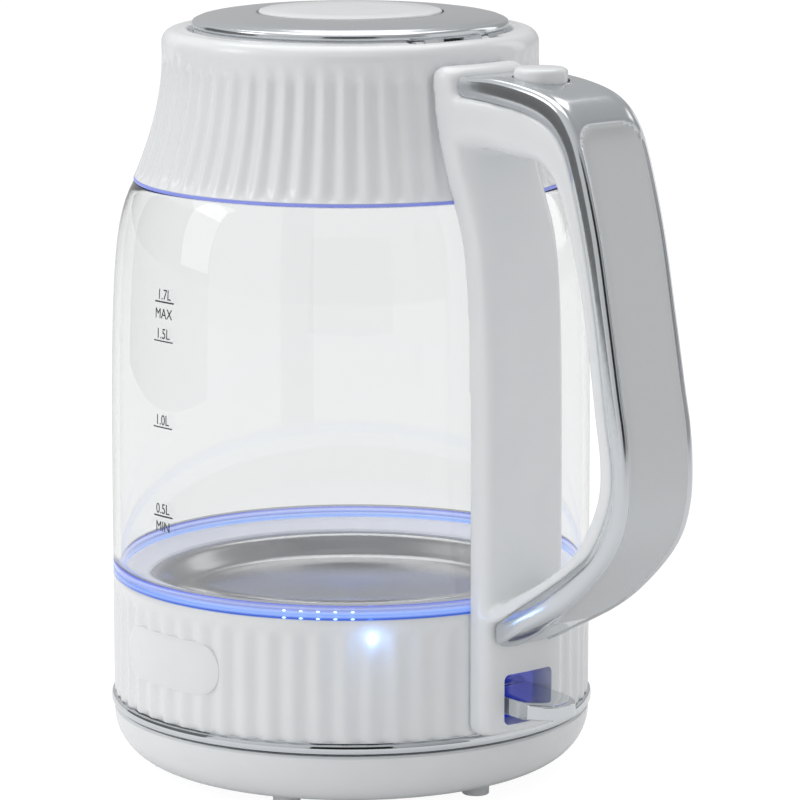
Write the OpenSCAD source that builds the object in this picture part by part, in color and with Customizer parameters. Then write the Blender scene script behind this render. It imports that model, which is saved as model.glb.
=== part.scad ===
// Electric kettle: glass jug on a round power base, with a loop handle on a pillar at +X, a spout at -X
// and the volume marks at -Y. Millimetres, +Z up, origin on the axis in the plane of the feet.

/* [Overall size] */
// Diameter of the body
body_d = 155; // [130:1:186]
// Height of the glass jug
jug_h = 123.1; // [102:0.1:148]

/* [Power base] */
// Height of the feet under the base
foot_h = 2.3; // [1.5:0.1:4]
// Radius of a foot
foot_r = 4.35; // [3:0.05:5.4]
// Height of the base shell
base_h = 17.7; // [15:0.1:21]
// Wall of the base shell
base_wall = 2.4; // [1.8:0.1:3]
// Radius of the base connector's centring boss
boss_r = 13; // [10:0.1:16]
// Radius of the base connector's contact post
post_r = 6; // [4:0.1:7.5]

/* [Kettle body] */
// Height of the bright trim ring
trim_h = 3.4; // [2.5:0.1:5]
// Height of the fluted lower housing
house_h = 39.3; // [37:0.1:47]
// Wall of the lower housing
house_wall = 3.4; // [2.6:0.1:3.8]
// Number of flutes round the body
flute_count = 60; // [36:4:84]
// Depth of a flute
flute_d = 0.9; // [0.5:0.1:1.2]
// Height of the light band
band_h = 4.7; // [3.5:0.1:6]
// Wall of the glass
glass_wall = 2.5; // [2:0.1:3]
// How far the glass draws in at its shoulder
shoulder = 8.1; // [6:0.1:10]

/* [Collar and lid] */
// Height of the fluted collar
collar_h = 47.6; // [44:0.1:56]
// Wall of the collar
collar_wall = 2.6; // [2:0.1:3]
// Radius of the mouth
mouth_r = 52; // [50:0.1:52.6]
// Radius of the white disc in the lid
disc_r = 29.3; // [24:0.1:34]
// How far the spout stands out of the collar
spout_reach = 15; // [12:0.5:18]

/* [Handle] */
// How far the handle reaches out of the body
reach = 66.7; // [60:0.1:80]
// Half the width of the grip
grip_half = 14; // [12.5:0.1:15.5]
// Wall of the grip
grip_wall = 2.4; // [2:0.1:2.8]
// Wall of the bright back cover
cover_wall = 1.8; // [1.4:0.1:2.2]
// How far the pillar stands out of the body
pillar_t = 8.5; // [8:0.1:10]
// Half the width of the pillar
pillar_half = 17; // [16.4:0.1:19]

/* [Controls] */
// Radius of the lid button
button_r = 8.3; // [7:0.1:9.6]
// Travel of the lid button
button_travel = 3; // [2:0.1:3]
// Half the width of the switch paddle
paddle_half = 9; // [7:0.1:9.6]
// How far the switch paddle stands out of the pillar
paddle_reach = 17; // [12:0.5:20]

/* [Hidden] */
$fn = 96;
eps = 0.01;

// Clearances
fit = 0.2;        // between pieces of one body that push together
free = 0.3;       // between pieces that move past each other
run = 0.05;       // radial, between a pin and its bore

// Heights, from the table up
body_r = body_d / 2;
z_deck = foot_h + base_h;
z_trim = z_deck + 0.9;
z_house = z_trim + trim_h;
z_band = z_house + house_h;
z_glass = z_band + band_h;
gasket_t = 1;
z_collar = z_glass + jug_h + gasket_t;
z_rim = z_collar + collar_h;

// Power base
bowl_inset = 16.7;
bowl_r = body_r - bowl_inset;
foot_ring_r = bowl_r + 0.2;
foot_socket = 1.2;
plate_r = foot_ring_r - foot_r - 1.7;
plate_t = 2.2;
base_post_r = 4;
base_post_ring = plate_r - 6.6;
screw_r = 1.3;
screw_head_r = 2.7;
grommet_z = foot_h + 9;
grommet_r = 4.6;
cord_r = 3.3;
connector_r = boss_r + 5;
ring_out = boss_r + 9;

// Kettle body
house_in = body_r - house_wall;
glass_in = body_r - glass_wall;
ledge_z = z_band - 2.9;
ledge_in = body_r - 10.5;
cover_z = z_deck + 1.2;
cover_t = 2.2;
post_ring = body_r - 11.5;
post_angles = [75, 195, 285];
element_r = body_r * 0.57;
element_tube = 3.6;
plate_floor = z_band - 9.4;
plate_sheet = 0.8;
spreader_t = 3.5;
element_z = plate_floor - plate_sheet - spreader_t - element_tube;
control_top = element_z - element_tube + 0.3;
badge_z = z_house + 20.1;

// Switch, turning on a pin across the well
switch_x = body_r - 5.5;
switch_z = z_house + 11.7;
well_half = paddle_half + 1.2;
well_low = z_house + 4.1;
well_high = z_house + 20.5;
well_wall = 1.2;

// Handle
z_low = z_band - 13.6;
z_high = z_rim - 9;
cover_start = body_r - 11;
button_x = body_r + 12.4;
latch_z = z_rim - 21.4;
latch_t = 2.8;
latch_half = 3;

// Lid, turning on a pin in the rear of the mouth
hinge_x = mouth_r - 3.8;
hinge_z = z_rim - 2;
pin_r = 1;
knuckle_r = 2.1;
knuckle_half = 11.6;
ear_in = 12;
ear_out = 15;
lid_z = z_rim + 0.7;
ring_r = mouth_r - 1.4;
pan_r = mouth_r - 2.7;
pan_z = z_rim - 12;
notch_x = hinge_x - 4.7;
notch_half = 17;

// Outline of the body, measured from the axis. t runs up the glass, s up the collar, both from 0 to 1.
function jug_r(t) = body_r - shoulder * (pow(t, 4) + pow(t, 14)) / 2;
function collar_r(s) = body_r - 17.2 + (17.2 - shoulder) * pow(max(0, 1 - s / 0.8), 1.8);
function jug_point(t, inset) = [jug_r(t) - inset, z_glass + t * jug_h];
function collar_point(s, inset) = [collar_r(s) - inset, z_collar + s * collar_h];
jug_steps = [0, 0.2, 0.4, 0.55, 0.66, 0.75, 0.82, 0.88, 0.925, 0.96, 1];
collar_steps = [0, 0.07, 0.15, 0.23, 0.32, 0.42, 0.54, 0.67, 0.8, 0.9];
function outline(grow, low) = concat([[body_r + grow, low], [body_r + grow, z_glass]],
    [for (t = jug_steps) if (t > 0) jug_point(t, -grow)], [for (s = collar_steps) collar_point(s, -grow)]);

// A point of the handle: x out of the body over the full reach, t from the lower root to the top
function grip_point(p) = [body_r + p[0] * reach, z_low + p[1] * (z_high - z_low)];
// A smooth curve through the points, with the given number of steps between two points
function curve(p, steps) = concat([for (i = [1:len(p) - 3]) for (j = [0:steps - 1])
    let (u = j / steps) ((2 * p[i]) + (p[i + 1] - p[i - 1]) * u
        + (2 * p[i - 1] - 5 * p[i] + 4 * p[i + 1] - p[i + 2]) * u * u
        + (3 * p[i] - p[i - 1] - 3 * p[i + 1] + p[i + 2]) * u * u * u) / 2], [p[len(p) - 2]]);
function side(a, b) = let (d = b - a) [-d[1], d[0]] / norm(d);
// The same curve moved sideways by d, to the left of its run
function beside(p, d) = [for (i = [0:len(p) - 1]) p[i] + d * side(p[max(0, i - 1)], p[min(len(p) - 1, i + 1)])];
function backwards(p) = [for (i = [len(p) - 1:-1:0]) p[i]];

back_points = [[-0.6, 1], [-0.35, 1.005], [0.1, 1.004], [0.36, 0.993], [0.52, 0.973], [0.625, 0.937],
    [0.7, 0.88], [0.8, 0.76], [0.875, 0.63], [0.94, 0.51], [0.985, 0.43], [1, 0.36], [0.985, 0.3],
    [0.925, 0.24], [0.78, 0.176], [0.56, 0.107], [0.3, 0.05], [0.02, 0], [-0.25, -0.045]];
seam_points = [[-0.6, 0.966], [-0.35, 0.966], [0.06, 0.963], [0.3, 0.953], [0.46, 0.934], [0.555, 0.9],
    [0.62, 0.845], [0.7, 0.748], [0.78, 0.621], [0.855, 0.459], [0.9, 0.365], [0.868, 0.3], [0.77, 0.2315],
    [0.63, 0.186], [0.41, 0.131], [0.136, 0.067], [-0.15, 0]];
inner_points = [[-0.6, 0.89], [-0.35, 0.895], [0, 0.877], [0.16, 0.871], [0.32, 0.868], [0.405, 0.855],
    [0.485, 0.825], [0.56, 0.766], [0.625, 0.693], [0.69, 0.597], [0.755, 0.454], [0.79, 0.377],
    [0.767, 0.309], [0.64, 0.2276], [0.45, 0.167], [0.19, 0.1127], [-0.05, 0.062], [-0.2, 0.03]];
back_line = curve([for (p = back_points) grip_point(p)], 4);
seam_line = curve([for (p = seam_points) grip_point(p)], 4);
inner_line = curve([for (p = inner_points) grip_point(p)], 4);

// Shapes used more than once

// A ring from its section, points in radius and height
module ring(points) { rotate_extrude($fn = 180) polygon(points); }

module tube(r_out, r_in, z0, z1) {
    translate([0, 0, z0]) difference() {
        cylinder(r = r_out, h = z1 - z0);
        translate([0, 0, -1]) cylinder(r = r_in, h = z1 - z0 + 2);
    }
}

// A cylinder along +X or +Y, starting at the given point
module rod_x(p, r, length) { translate(p) rotate([0, 90, 0]) cylinder(r = r, h = length, $fn = 48); }
module rod_y(p, r, length) { translate(p) rotate([-90, 0, 0]) cylinder(r = r, h = length, $fn = 48); }

// A side view, points in x and z, given a width across Y
module slab(points, half) { translate([0, half, 0]) rotate([90, 0, 0]) linear_extrude(2 * half) polygon(points); }

module block(x0, x1, half, z0, z1) { translate([x0, -half, z0]) cube([x1 - x0, 2 * half, z1 - z0]); }

module around(radius, angles) { for (a = angles) rotate([0, 0, a]) translate([radius, 0, 0]) children(); }

// A screw with its head down, from z0 to z1
module screw(z0, z1, head) {
    translate([0, 0, z0]) difference() {
        cylinder(r = screw_head_r, h = head, $fn = 32);
        translate([-screw_head_r, -0.4, -eps]) cube([2 * screw_head_r, 0.8, 0.7]);
    }
    translate([0, 0, z0 + head - eps]) cylinder(r = screw_r - run, h = z1 - z0 - head, $fn = 32);
}

// The whole body as one revolved solid, grown by the given clearance
module body_envelope(grow) {
    ring(concat([[0, z_house]], outline(grow, z_house), [[0, z_collar + 0.9 * collar_h]]));
}

// A helix round Z, as points
function helix(r, z0, z1, turns) = [for (i = [0:14 * turns])
    let (a = 360 * i / 14) [r * cos(a), r * sin(a), z0 + (z1 - z0) * i / (14 * turns)]];

// A round wire swept along a path that never runs along the given axis
module wire(path, r, axis) {
    sides = 8;
    last = len(path) - 1;
    points = [for (i = [0:last]) let (t = path[min(last, i + 1)] - path[max(0, i - 1)],
        u = cross(t, axis) / norm(cross(t, axis)), v = cross(u, t) / norm(t))
            for (k = [0:sides - 1]) path[i] + r * (cos(360 * k / sides) * u + sin(360 * k / sides) * v)];
    walls = [for (i = [0:last - 1]) for (k = [0:sides - 1])
        let (a = i * sides + k, b = i * sides + (k + 1) % sides) each [[a, b + sides, a + sides], [a, b, b + sides]]];
    ends = [[for (k = [sides - 1:-1:0]) k], [for (k = [0:sides - 1]) last * sides + k]];
    polyhedron(points, concat(walls, ends), convexity = 8);
}

// Power base

bowl = [for (a = [0:9:90]) [bowl_r + bowl_inset * sin(a), foot_h + (base_h - 1.5) * (1 - cos(a))]];
bowl_inside = [for (a = [81:-9:18]) [bowl_r + (bowl_inset - base_wall) * sin(a),
    foot_h + base_wall + (base_h - 1.5 - base_wall) * (1 - cos(a))]];

module base_shell() color("white") difference() {
    union() {
        ring(concat(bowl, [[body_r, z_deck - 0.7], [body_r - 0.7, z_deck], [ring_out + 0.8, z_deck],
            [ring_out + 0.8, z_deck - base_wall], [body_r - base_wall, z_deck - base_wall]], bowl_inside,
            [[bowl_r, foot_h + 2.6], [plate_r + fit, foot_h + 2.6], [plate_r + fit, foot_h]]));
        around(base_post_ring, [30:120:270]) translate([0, 0, foot_h + plate_t])
            cylinder(r = base_post_r, h = z_deck - 1 - foot_h - plate_t, $fn = 48);
    }
    around(foot_ring_r, [0:60:300]) translate([0, 0, -1]) cylinder(r = foot_r + 0.05, h = foot_h + foot_socket + 1);
    around(base_post_ring, [30:120:270]) translate([0, 0, foot_h]) cylinder(r = screw_r, h = 11, $fn = 48);
    rod_y([0, bowl_r, grommet_z], grommet_r - 0.6, 30);
}

module base_bottom_plate() color("whitesmoke") difference() {
    union() {
        translate([0, 0, foot_h]) cylinder(r = plate_r, h = plate_t);
        tube(connector_r - 2 - fit, connector_r - 4, foot_h + 1, foot_h + plate_t + 1.5);
    }
    around(base_post_ring, [30:120:270]) {
        translate([0, 0, foot_h - 1]) cylinder(r = screw_head_r + 0.2, h = 2.3, $fn = 48);
        translate([0, 0, foot_h - 1]) cylinder(r = screw_r, h = 9, $fn = 48);
    }
    for (x = [-12, 0, 12]) block(x - 1.2, x + 1.2, 8, foot_h - 1, foot_h + plate_t + 1);
}

module base_feet() color("gainsboro") around(foot_ring_r, [0:60:300]) {
    cylinder(r1 = foot_r - 0.5, r2 = foot_r, h = 0.5);
    translate([0, 0, 0.5 - eps]) cylinder(r = foot_r, h = foot_h + foot_socket - 0.5);
}

module base_screws() color("silver") around(base_post_ring, [30:120:270]) screw(foot_h + 0.2, foot_h + 10, 1.1);

// Fixed to the bottom plate; its boss centres the kettle and its post holds the contacts
module base_connector() color("dimgray") difference() {
    union() {
        tube(connector_r, connector_r - 2, foot_h + plate_t, z_deck - 1);
        translate([0, 0, z_deck - 4]) cylinder(r = connector_r, h = 3);
        translate([0, 0, z_deck - 4]) cylinder(r = boss_r, h = 7);
        translate([0, 0, z_deck]) cylinder(r = post_r, h = 12);
    }
    translate([0, 0, z_deck + 4]) cylinder(r = post_r / 2, h = 20);
    tube(boss_r - 1.5, boss_r - 3, z_deck + 1, z_deck + 4);
}

module cord_grommet() color("dimgray") difference() {
    union() {
        rod_y([0, body_r - 14, grommet_z], grommet_r, 4);
        rod_y([0, body_r - 10.2, grommet_z], grommet_r - 0.7, 9);
    }
    rod_y([0, body_r - 20, grommet_z], cord_r, 30);
}

// Loose ring that turns on the boss, and carries the kettle round with it
module turn_ring() color("silver") tube(ring_out, boss_r + run, z_deck - 1 + free, z_deck + 1.9);

// Kettle body

module trim_ring() color("silver") ring([[body_r - 2.8, z_trim], [body_r + 0.4, z_trim],
    [body_r + 0.9, z_trim + 0.6], [body_r + 0.9, z_house - 1.1], [body_r + 0.5, z_house - 0.4],
    [body_r - 0.8, z_house - 0.4], [body_r - 0.8, z_house], [body_r - 2.8, z_house]]);

module bottom_cover() color("white") difference() {
    union() {
        tube(body_r - 3, ring_out + 1, cover_z, cover_z + cover_t);
        tube(bowl_r + 3, bowl_r - 1, z_deck + free, cover_z + 1);
        tube(ring_out + 3, ring_out + 1, cover_z, cover_z + 6);
    }
    around(post_ring, post_angles) {
        translate([0, 0, cover_z - 1]) cylinder(r = screw_head_r + 0.2, h = 2.2, $fn = 48);
        translate([0, 0, cover_z - 1]) cylinder(r = screw_r, h = 9, $fn = 48);
    }
}

module bottom_screws() color("silver") around(post_ring, post_angles) screw(cover_z + 0.1, cover_z + 14, 1);

// A stadium-shaped prism through the -Y wall
module badge_shape(grow) {
    rotate([90, 0, 0]) translate([0, badge_z, 0]) linear_extrude(body_r + 5) union() {
        square([46 - 17, 17 + 2 * grow], center = true);
        for (x = [-1, 1]) translate([x * 14.5, 0]) circle(r = 8.5 + grow);
    }
}

module lower_housing() color("white") difference() {
    union() {
        translate([0, 0, z_house]) linear_extrude(house_h - 3) difference() {
            polygon([for (i = [0:4 * flute_count - 1]) let (a = 90 * i / flute_count)
                (body_r - flute_d * [0, 0.5, 1, 0.5][i % 4]) * [cos(a), sin(a)]]);
            circle(r = house_in, $fn = 180);
        }
        tube(body_r - 0.1, house_in, z_band - 3, z_band);
        tube(house_in + 1, ledge_in, ledge_z - 1.6, ledge_z);
        around(post_ring, post_angles) translate([0, 0, cover_z + cover_t]) {
            cylinder(r = 3.6, h = 18, $fn = 48);
            translate([0, -1, 0]) cube([house_in + 0.3 - post_ring, 2, 18]);
        }
    }
    difference() {
        badge_shape(0.05);
        cylinder(r = body_r - 1.5, h = z_band);
    }
    around(post_ring, post_angles) cylinder(r = screw_r, h = cover_z + 15, $fn = 48);
    around(body_r - 5.5, [10:20:350]) translate([0, 0, ledge_z - 3]) cylinder(r = 1.45, h = 6, $fn = 32);
    block(body_r - 12, body_r + 5, well_half + well_wall + fit, well_low - well_wall - fit, well_high + well_wall + fit);
    rotate([0, 0, -35.5]) rod_x([body_r - 8, 0, z_band - 5.8], 1.65, 12);
    for (y = [-1, 1]) rod_x([body_r - 8, y * 13.6, z_house + 30], screw_r, 12);
}

// Blank smooth oval let into the flutes
module badge() color("white") intersection() {
    badge_shape(0);
    tube(body_r + 0.3, body_r - 1.45, z_house, z_band);
}

module indicator_lens() color("lightskyblue") rotate([0, 0, -35.5]) rod_x([house_in - 0.05, 0, z_band - 5.8], 1.6,
    house_wall + 0.2);

module kettle_connector() color("dimgray") difference() {
    union() {
        translate([0, 0, z_deck + 1.9 + free]) cylinder(r = ring_out + 1 - fit, h = 3);
        translate([0, 0, z_deck + 5]) cylinder(r = boss_r + 7, h = 11);
    }
    translate([0, 0, z_deck]) cylinder(r = boss_r + free, h = 3 + free);
    translate([0, 0, z_deck]) cylinder(r = post_r + free, h = 12 + 1.5);
}

// Housing that carries the connector, the two bimetal discs and the arm towards the switch
module control_unit() color("gainsboro") difference() {
    union() {
        translate([0, 0, z_deck + 16]) cylinder(r = 27, h = control_top - z_deck - 16);
        block(boss_r + 7, switch_x - 12, 11, z_deck + 11, control_top - 3);
        around(23, [60:120:300]) translate([0, 0, control_top - 1])
            cylinder(r = 2.6, h = element_z + element_tube - control_top + 1, $fn = 32);
    }
    block(boss_r + 11, switch_x - 14, 9, z_deck + 13, control_top - 5);
}

module bimetal_discs() color("peru") {
    around(13, [0, 180]) translate([0, 0, control_top]) cylinder(r = 7, h = 0.5);
    rod_x([switch_x - 12, 0, switch_z], 6.5, 0.5);
}

module heating_element() color("dimgray") {
    rotate([0, 0, 30]) translate([0, 0, element_z]) rotate_extrude(angle = 300) translate([element_r, 0])
        circle(r = element_tube, $fn = 32);
    for (a = [35, 325]) rotate([0, 0, a]) translate([element_r, 0, element_z - 12]) cylinder(r = 2.2, h = 12, $fn = 32);
}

module heat_spreader() color("lightgray") translate([0, 0, element_z + element_tube])
    cylinder(r = element_r + 7, h = spreader_t);

// Pressed steel dish with a rolled edge under the gasket
dish = [[body_r - 5.1, ledge_z + plate_sheet], [body_r - 13, ledge_z + plate_sheet], [body_r - 14.6, ledge_z - 0.1],
    [body_r - 17, plate_floor + 2.3], [body_r - 19.5, plate_floor + 0.4], [body_r - 22.5, plate_floor]];
module heating_plate() color("silver") ring(concat([[0, plate_floor - plate_sheet]],
    [for (p = backwards(dish)) p - [0, plate_sheet]], dish, [[0, plate_floor]]));

module plate_gasket() color("aliceblue") ring([[body_r - 11.7, ledge_z + plate_sheet],
    [house_in - fit, ledge_z + plate_sheet], [house_in - fit, z_band + 0.1], [glass_in - 0.3, z_band + 0.1],
    [glass_in - 0.3, z_glass + 2.2], [glass_in - 2.3, z_glass + 2.2],
    [glass_in - 3, z_band + 0.4], [body_r - 11.2, ledge_z + plate_sheet + 0.8]]);

module light_band() color("royalblue") ring([[glass_in - 0.1, z_band], [body_r, z_band], [body_r, z_glass],
    [glass_in - 0.1, z_glass]]);

module led_board() color("forestgreen") difference() {
    tube(house_in - fit, ledge_in + 1.5, ledge_z - 3.2, ledge_z - 1.6);
    block(body_r - 12, body_r, well_half, ledge_z - 4, ledge_z);
}

module leds() color("lightyellow") around(body_r - 5.5, [30:20:330]) translate([0, 0, ledge_z - 1.6])
    cylinder(r = 1.3, h = 1.5, $fn = 32);

// Two leads from the arm of the control housing, over the switch well and up to the LED board
wire_x = switch_x - 16;
wire_end = body_r - 10;
wire_z = max(well_high + well_wall + 1.4, control_top + 2);
module wires() color("firebrick") for (s = [-1, 1]) wire([[wire_x, s * 9.5, control_top - 3],
    [wire_x, s * 9.5, wire_z - 2], [wire_x + 0.7, s * 9.6, wire_z - 0.6], [wire_x + 2.2, s * 9.8, wire_z],
    [wire_end - 2.2, s * 11.8, wire_z], [wire_end - 0.6, s * 12, wire_z + 0.6], [wire_end, s * 12, wire_z + 2.2],
    [wire_end, s * 12, ledge_z - 3.2]], 0.8, [0, 1, 0]);

// Glass, its marks and the collar

module glass_jug() color("lightcyan", 0.4) ring(concat([for (t = jug_steps) jug_point(t, 0)],
    [for (t = backwards(jug_steps)) jug_point(t, glass_wall)]));

// Four short printed strokes, from 0.5 to 1.7 litres
mark_heights = [22.8, 51.2, 78.5, 90.8];
module volume_scale() color("dimgray") for (h = mark_heights)
    let (t = h / 123.1, w = h == 22.8 || h == 90.8 ? 0.35 : 0.3)
        rotate([0, 0, -93.5]) rotate_extrude(angle = 7, $fn = 360)
            translate([jug_r(t) + 0.05, z_glass + t * jug_h - w]) square([0.12, 2 * w]);

module collar_gasket() color("lightsteelblue") ring([[jug_r(1) - glass_wall + 0.1, z_collar - gasket_t],
    [jug_r(1) - 0.1, z_collar - gasket_t], [jug_r(1) - 0.1, z_collar], [jug_r(1) - glass_wall + 0.1, z_collar]]);

// Spout: a wedge in plan, cut under by a slope, thinner by the given inset
module spout_shape(inset, top) {
    tip = collar_r(0.8) + spout_reach;
    intersection() {
        slab([[-tip + inset, top], [-tip + inset, z_rim - 9 + inset], [-collar_r(0.8) + 3, z_rim - 36 + inset * 2],
            [-mouth_r + 4, z_rim - 36 + inset * 2], [-mouth_r + 4, top]], 20);
        translate([0, 0, z_rim - 40]) linear_extrude(60) polygon([[-tip + inset + 0.6, 2.4 - inset * 0.4],
            [-tip + inset, 1.6 - inset * 0.4], [-tip + inset, -1.6 + inset * 0.4],
            [-tip + inset + 0.6, -2.4 + inset * 0.4], [-mouth_r + 4, -19 + inset], [-mouth_r + 4, 19 - inset]]);
    }
}

shoulder_arc = [for (a = [0:18:90]) [collar_r(0.9) - 4.2 + 4.2 * cos(a), z_rim - 4.2 + 4.2 * sin(a)]];
module upper_collar() color("white") difference() {
    union() {
        difference() {
            ring(concat([for (s = collar_steps) collar_point(s, 0)], shoulder_arc,
                [[mouth_r + 0.8, z_rim], [mouth_r, z_rim - 0.8], [mouth_r, z_rim - 14], [mouth_r + 2.2, z_rim - 14],
                [mouth_r + 2.2, z_rim - 2.6], [collar_r(0.9) - 4.2, z_rim - 2.6]],
                [for (s = backwards(collar_steps)) if (s > 0.1) collar_point(s, collar_wall)],
                [[jug_r(1) - glass_wall - 2.5, z_collar + 4.4], [jug_r(1) - glass_wall - 2.5, z_collar - 6.4],
                [jug_r(1) - glass_wall - 0.3, z_collar - 6.4], [jug_r(1) - glass_wall - 0.3, z_collar]]));
            spout_shape(2, z_rim - 3);
        }
        difference() {
            spout_shape(0, z_rim - 2);
            spout_shape(2, z_rim + 1);
            cylinder(r = collar_r(0.8) - 1, h = z_rim + 5);
            body_envelope(-1);
        }
        for (y = [-1, 1]) translate([0, y * (ear_in + ear_out) / 2, 0]) {
            block(hinge_x - knuckle_r, mouth_r + 0.6, (ear_out - ear_in) / 2, hinge_z - 7, hinge_z - 2.6);
            block(hinge_x - knuckle_r, hinge_x + knuckle_r, (ear_out - ear_in) / 2, hinge_z - 7, hinge_z);
            rod_y([hinge_x, (ear_in - ear_out) / 2, hinge_z], knuckle_r, ear_out - ear_in);
        }
        intersection() {
            body_envelope(-1);
            for (y = [-1, 1]) translate([0, y * 19.6, 0])
                block(-mouth_r - 9, -mouth_r + 1.6, 1.6, z_rim - 38, z_rim - 13.5);
        }
    }
    intersection() {
        translate([0, 0, z_rim - 4.5]) cylinder(r = mouth_r + 2.3, h = 10);
        block(hinge_x - 2, mouth_r + 9, notch_half, z_rim - 10, z_rim + 5);
        translate([0, 0, z_rim - 4.5]) difference() {
            cylinder(r = mouth_r + 9, h = 10);
            translate([0, 0, -1]) cylinder(r = mouth_r - 0.1, h = 12);
        }
    }
    rod_y([hinge_x, -30, hinge_z], pin_r, 60);
    block(mouth_r - 4, body_r, latch_half + 0.7, latch_z - button_travel - 0.8, latch_z + latch_t + 0.8);
}

// Handle: the pillar runs up the body and turns into the grip, one moulding

pillar_top = 0.65;
function pillar_point(s, grow) = [collar_r(s) - 1 + (pillar_t + 1 + grow) * min(1, (pillar_top - s) / 0.4),
    z_collar + s * collar_h];
pillar_collar_steps = [0.06, 0.14, 0.25, 0.38, 0.5, 0.58];
function pillar_outline(grow, low) = concat([[body_r - 2, low], [body_r + pillar_t + grow, low]],
    [for (t = jug_steps) jug_point(t, -pillar_t - grow)], [for (s = pillar_collar_steps) pillar_point(s, grow)],
    [collar_point(pillar_top, 1)], [for (s = backwards(pillar_collar_steps)) collar_point(s, 1.5)],
    [for (t = backwards(jug_steps)) jug_point(t, 1.5)], [[body_r - 1.5, z_glass]]);

module pillar(grow, half, low) {
    intersection() {
        rotate([0, 0, -16]) rotate_extrude(angle = 32, $fn = 360) polygon(pillar_outline(grow, low));
        block(0, body_r + 20, half, 0, z_rim);
    }
}

module handle_grip() color("white") difference() {
    union() {
        pillar(0, pillar_half, z_house + 0.5);
        slab(concat(seam_line, backwards(inner_line)), grip_half);
        block(mouth_r, cover_start - 0.3, pillar_half - 0.5, z_high - 20, z_high + 2.6);
    }
    body_envelope(0.1);
    cylinder(r = mouth_r + 6, h = z_rim + 10);
    difference() {
        pillar(-grip_wall, pillar_half - grip_wall, z_house + 0.5 + grip_wall);
        for (y = [-1, 1]) rod_x([body_r - 2, y * 13.6, z_house + 30], 3, 20);
        block(body_r - 2, body_r + 20, pillar_half, well_low - well_wall - fit - 1, well_low - well_wall - fit);
    }
    intersection() {
        slab(concat(beside(seam_line, 1.5), backwards(beside(inner_line, grip_wall))), grip_half - grip_wall);
        block(cover_start + 3, body_r + reach + 5, 20, z_low + 0.1 * (z_high - z_low), z_rim);
        difference() {
            block(0, body_r + reach + 5, 20, 0, z_rim);
            intersection() {
                block(0, body_r + pillar_t + 3, 20, 0, z_low + 0.3 * (z_high - z_low));
                cylinder(r = body_r + pillar_t + 2, h = z_rim);
            }
        }
    }
    block(mouth_r, cover_start + 4, latch_half + 0.7, latch_z - button_travel - 0.8, latch_z + latch_t + 0.8);
    block(body_r, body_r + 20, well_half - fit, well_low, well_high);
    for (y = [-1, 1]) rod_x([body_r - 8, y * 13.6, z_house + 30], screw_r - run, 12);
}

module handle_cover() color("silver") difference() {
    union() {
        slab(concat(beside(back_line, -1.1), backwards(beside(seam_line, 0.3))), grip_half);
        slab(concat(back_line, backwards(beside(seam_line, 0.3))), grip_half - 2);
    }
    slab(concat(beside(back_line, -cover_wall), backwards(beside(seam_line, -2))), grip_half - cover_wall);
    block(0, cover_start, 30, z_high - 40, z_rim + 10);
    intersection() {
        cylinder(r = body_r + pillar_t + 0.3, h = z_rim);
        block(0, body_r + reach, 30, 0, z_low + 0.5 * (z_high - z_low));
    }
    translate([button_x, 0, z_high - 15]) cylinder(r = button_r + 0.5, h = 30);
}

screw_seat = sqrt(pow(house_in, 2) - pow(13.6 + screw_head_r, 2));
module handle_screws() color("silver") for (y = [-1, 1]) {
    rod_x([screw_seat - 2, y * 13.6, z_house + 30], screw_head_r, 2);
    rod_x([screw_seat - 0.1, y * 13.6, z_house + 30], screw_r - run, body_r + 3.6 - screw_seat);
}

// Flat duct that takes steam from the collar down to the bimetal disc behind the switch
duct_steps = [for (t = jug_steps) if (t < 0.95) t];
module steam_duct() color("whitesmoke") difference() {
    rotate([0, 0, -6]) rotate_extrude(angle = 12, $fn = 360) polygon(concat(
        [[body_r + 1, z_band - 8]], [for (t = duct_steps) jug_point(t, -1)],
        [for (t = backwards(duct_steps)) jug_point(t, -pillar_t + grip_wall + 0.4)],
        [[body_r + pillar_t - grip_wall - 0.4, z_band - 8]]));
    rotate([0, 0, -5]) rotate_extrude(angle = 10, $fn = 360) polygon(concat(
        [[body_r + 1.9, z_band - 9]], [for (t = duct_steps) jug_point(t * 1.03, -1.9)],
        [for (t = backwards(duct_steps)) jug_point(t * 1.03, -pillar_t + grip_wall + 1.3)],
        [[body_r + pillar_t - grip_wall - 1.3, z_band - 9]]));
}

// Open tub behind the window in the pillar, with ears for the pin
module switch_well() color("royalblue") difference() {
    block(body_r - 11.5, body_r + pillar_t - grip_wall - 1.3, well_half + well_wall, well_low - well_wall, well_high + well_wall);
    block(body_r - 10.3, body_r + pillar_t + 5, well_half, well_low, well_high);
    rod_y([switch_x, -30, switch_z], pin_r + 0.5, 60);
}

module switch_pin() color("silver") rod_y([switch_x, -well_half - well_wall, switch_z], pin_r + 0.5,
    2 * (well_half + well_wall));

paddle_tip = body_r + pillar_t + paddle_reach;
module switch_paddle() color("silver") difference() {
    union() {
        rod_y([switch_x, -paddle_half + 0.2, switch_z], 3.4, 2 * paddle_half - 0.4);
        intersection() {
            slab([[switch_x, switch_z + 2.5], [switch_x + 13, switch_z + 2.1], [paddle_tip - 2, switch_z + 1.2],
                [paddle_tip - 0.6, switch_z + 0.5], [paddle_tip, switch_z - 0.8], [paddle_tip, switch_z - 2.8],
                [paddle_tip - 0.6, switch_z - 4], [paddle_tip - 2, switch_z - 4.5],
                [switch_x + 13, switch_z - 3.4], [switch_x, switch_z - 3]], 20);
            translate([0, 0, switch_z - 10]) linear_extrude(20) union() {
                translate([switch_x, -paddle_half]) square([paddle_tip - 4 - switch_x, 2 * paddle_half]);
                translate([switch_x, -paddle_half + 4]) square([paddle_tip - switch_x, 2 * paddle_half - 8]);
                for (y = [-1, 1]) translate([paddle_tip - 4, y * (paddle_half - 4)]) circle(r = 4, $fn = 48);
            }
        }
    }
    rod_y([switch_x, -30, switch_z], pin_r + 0.5 + run, 60);
}

// Lid button and latch

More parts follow.
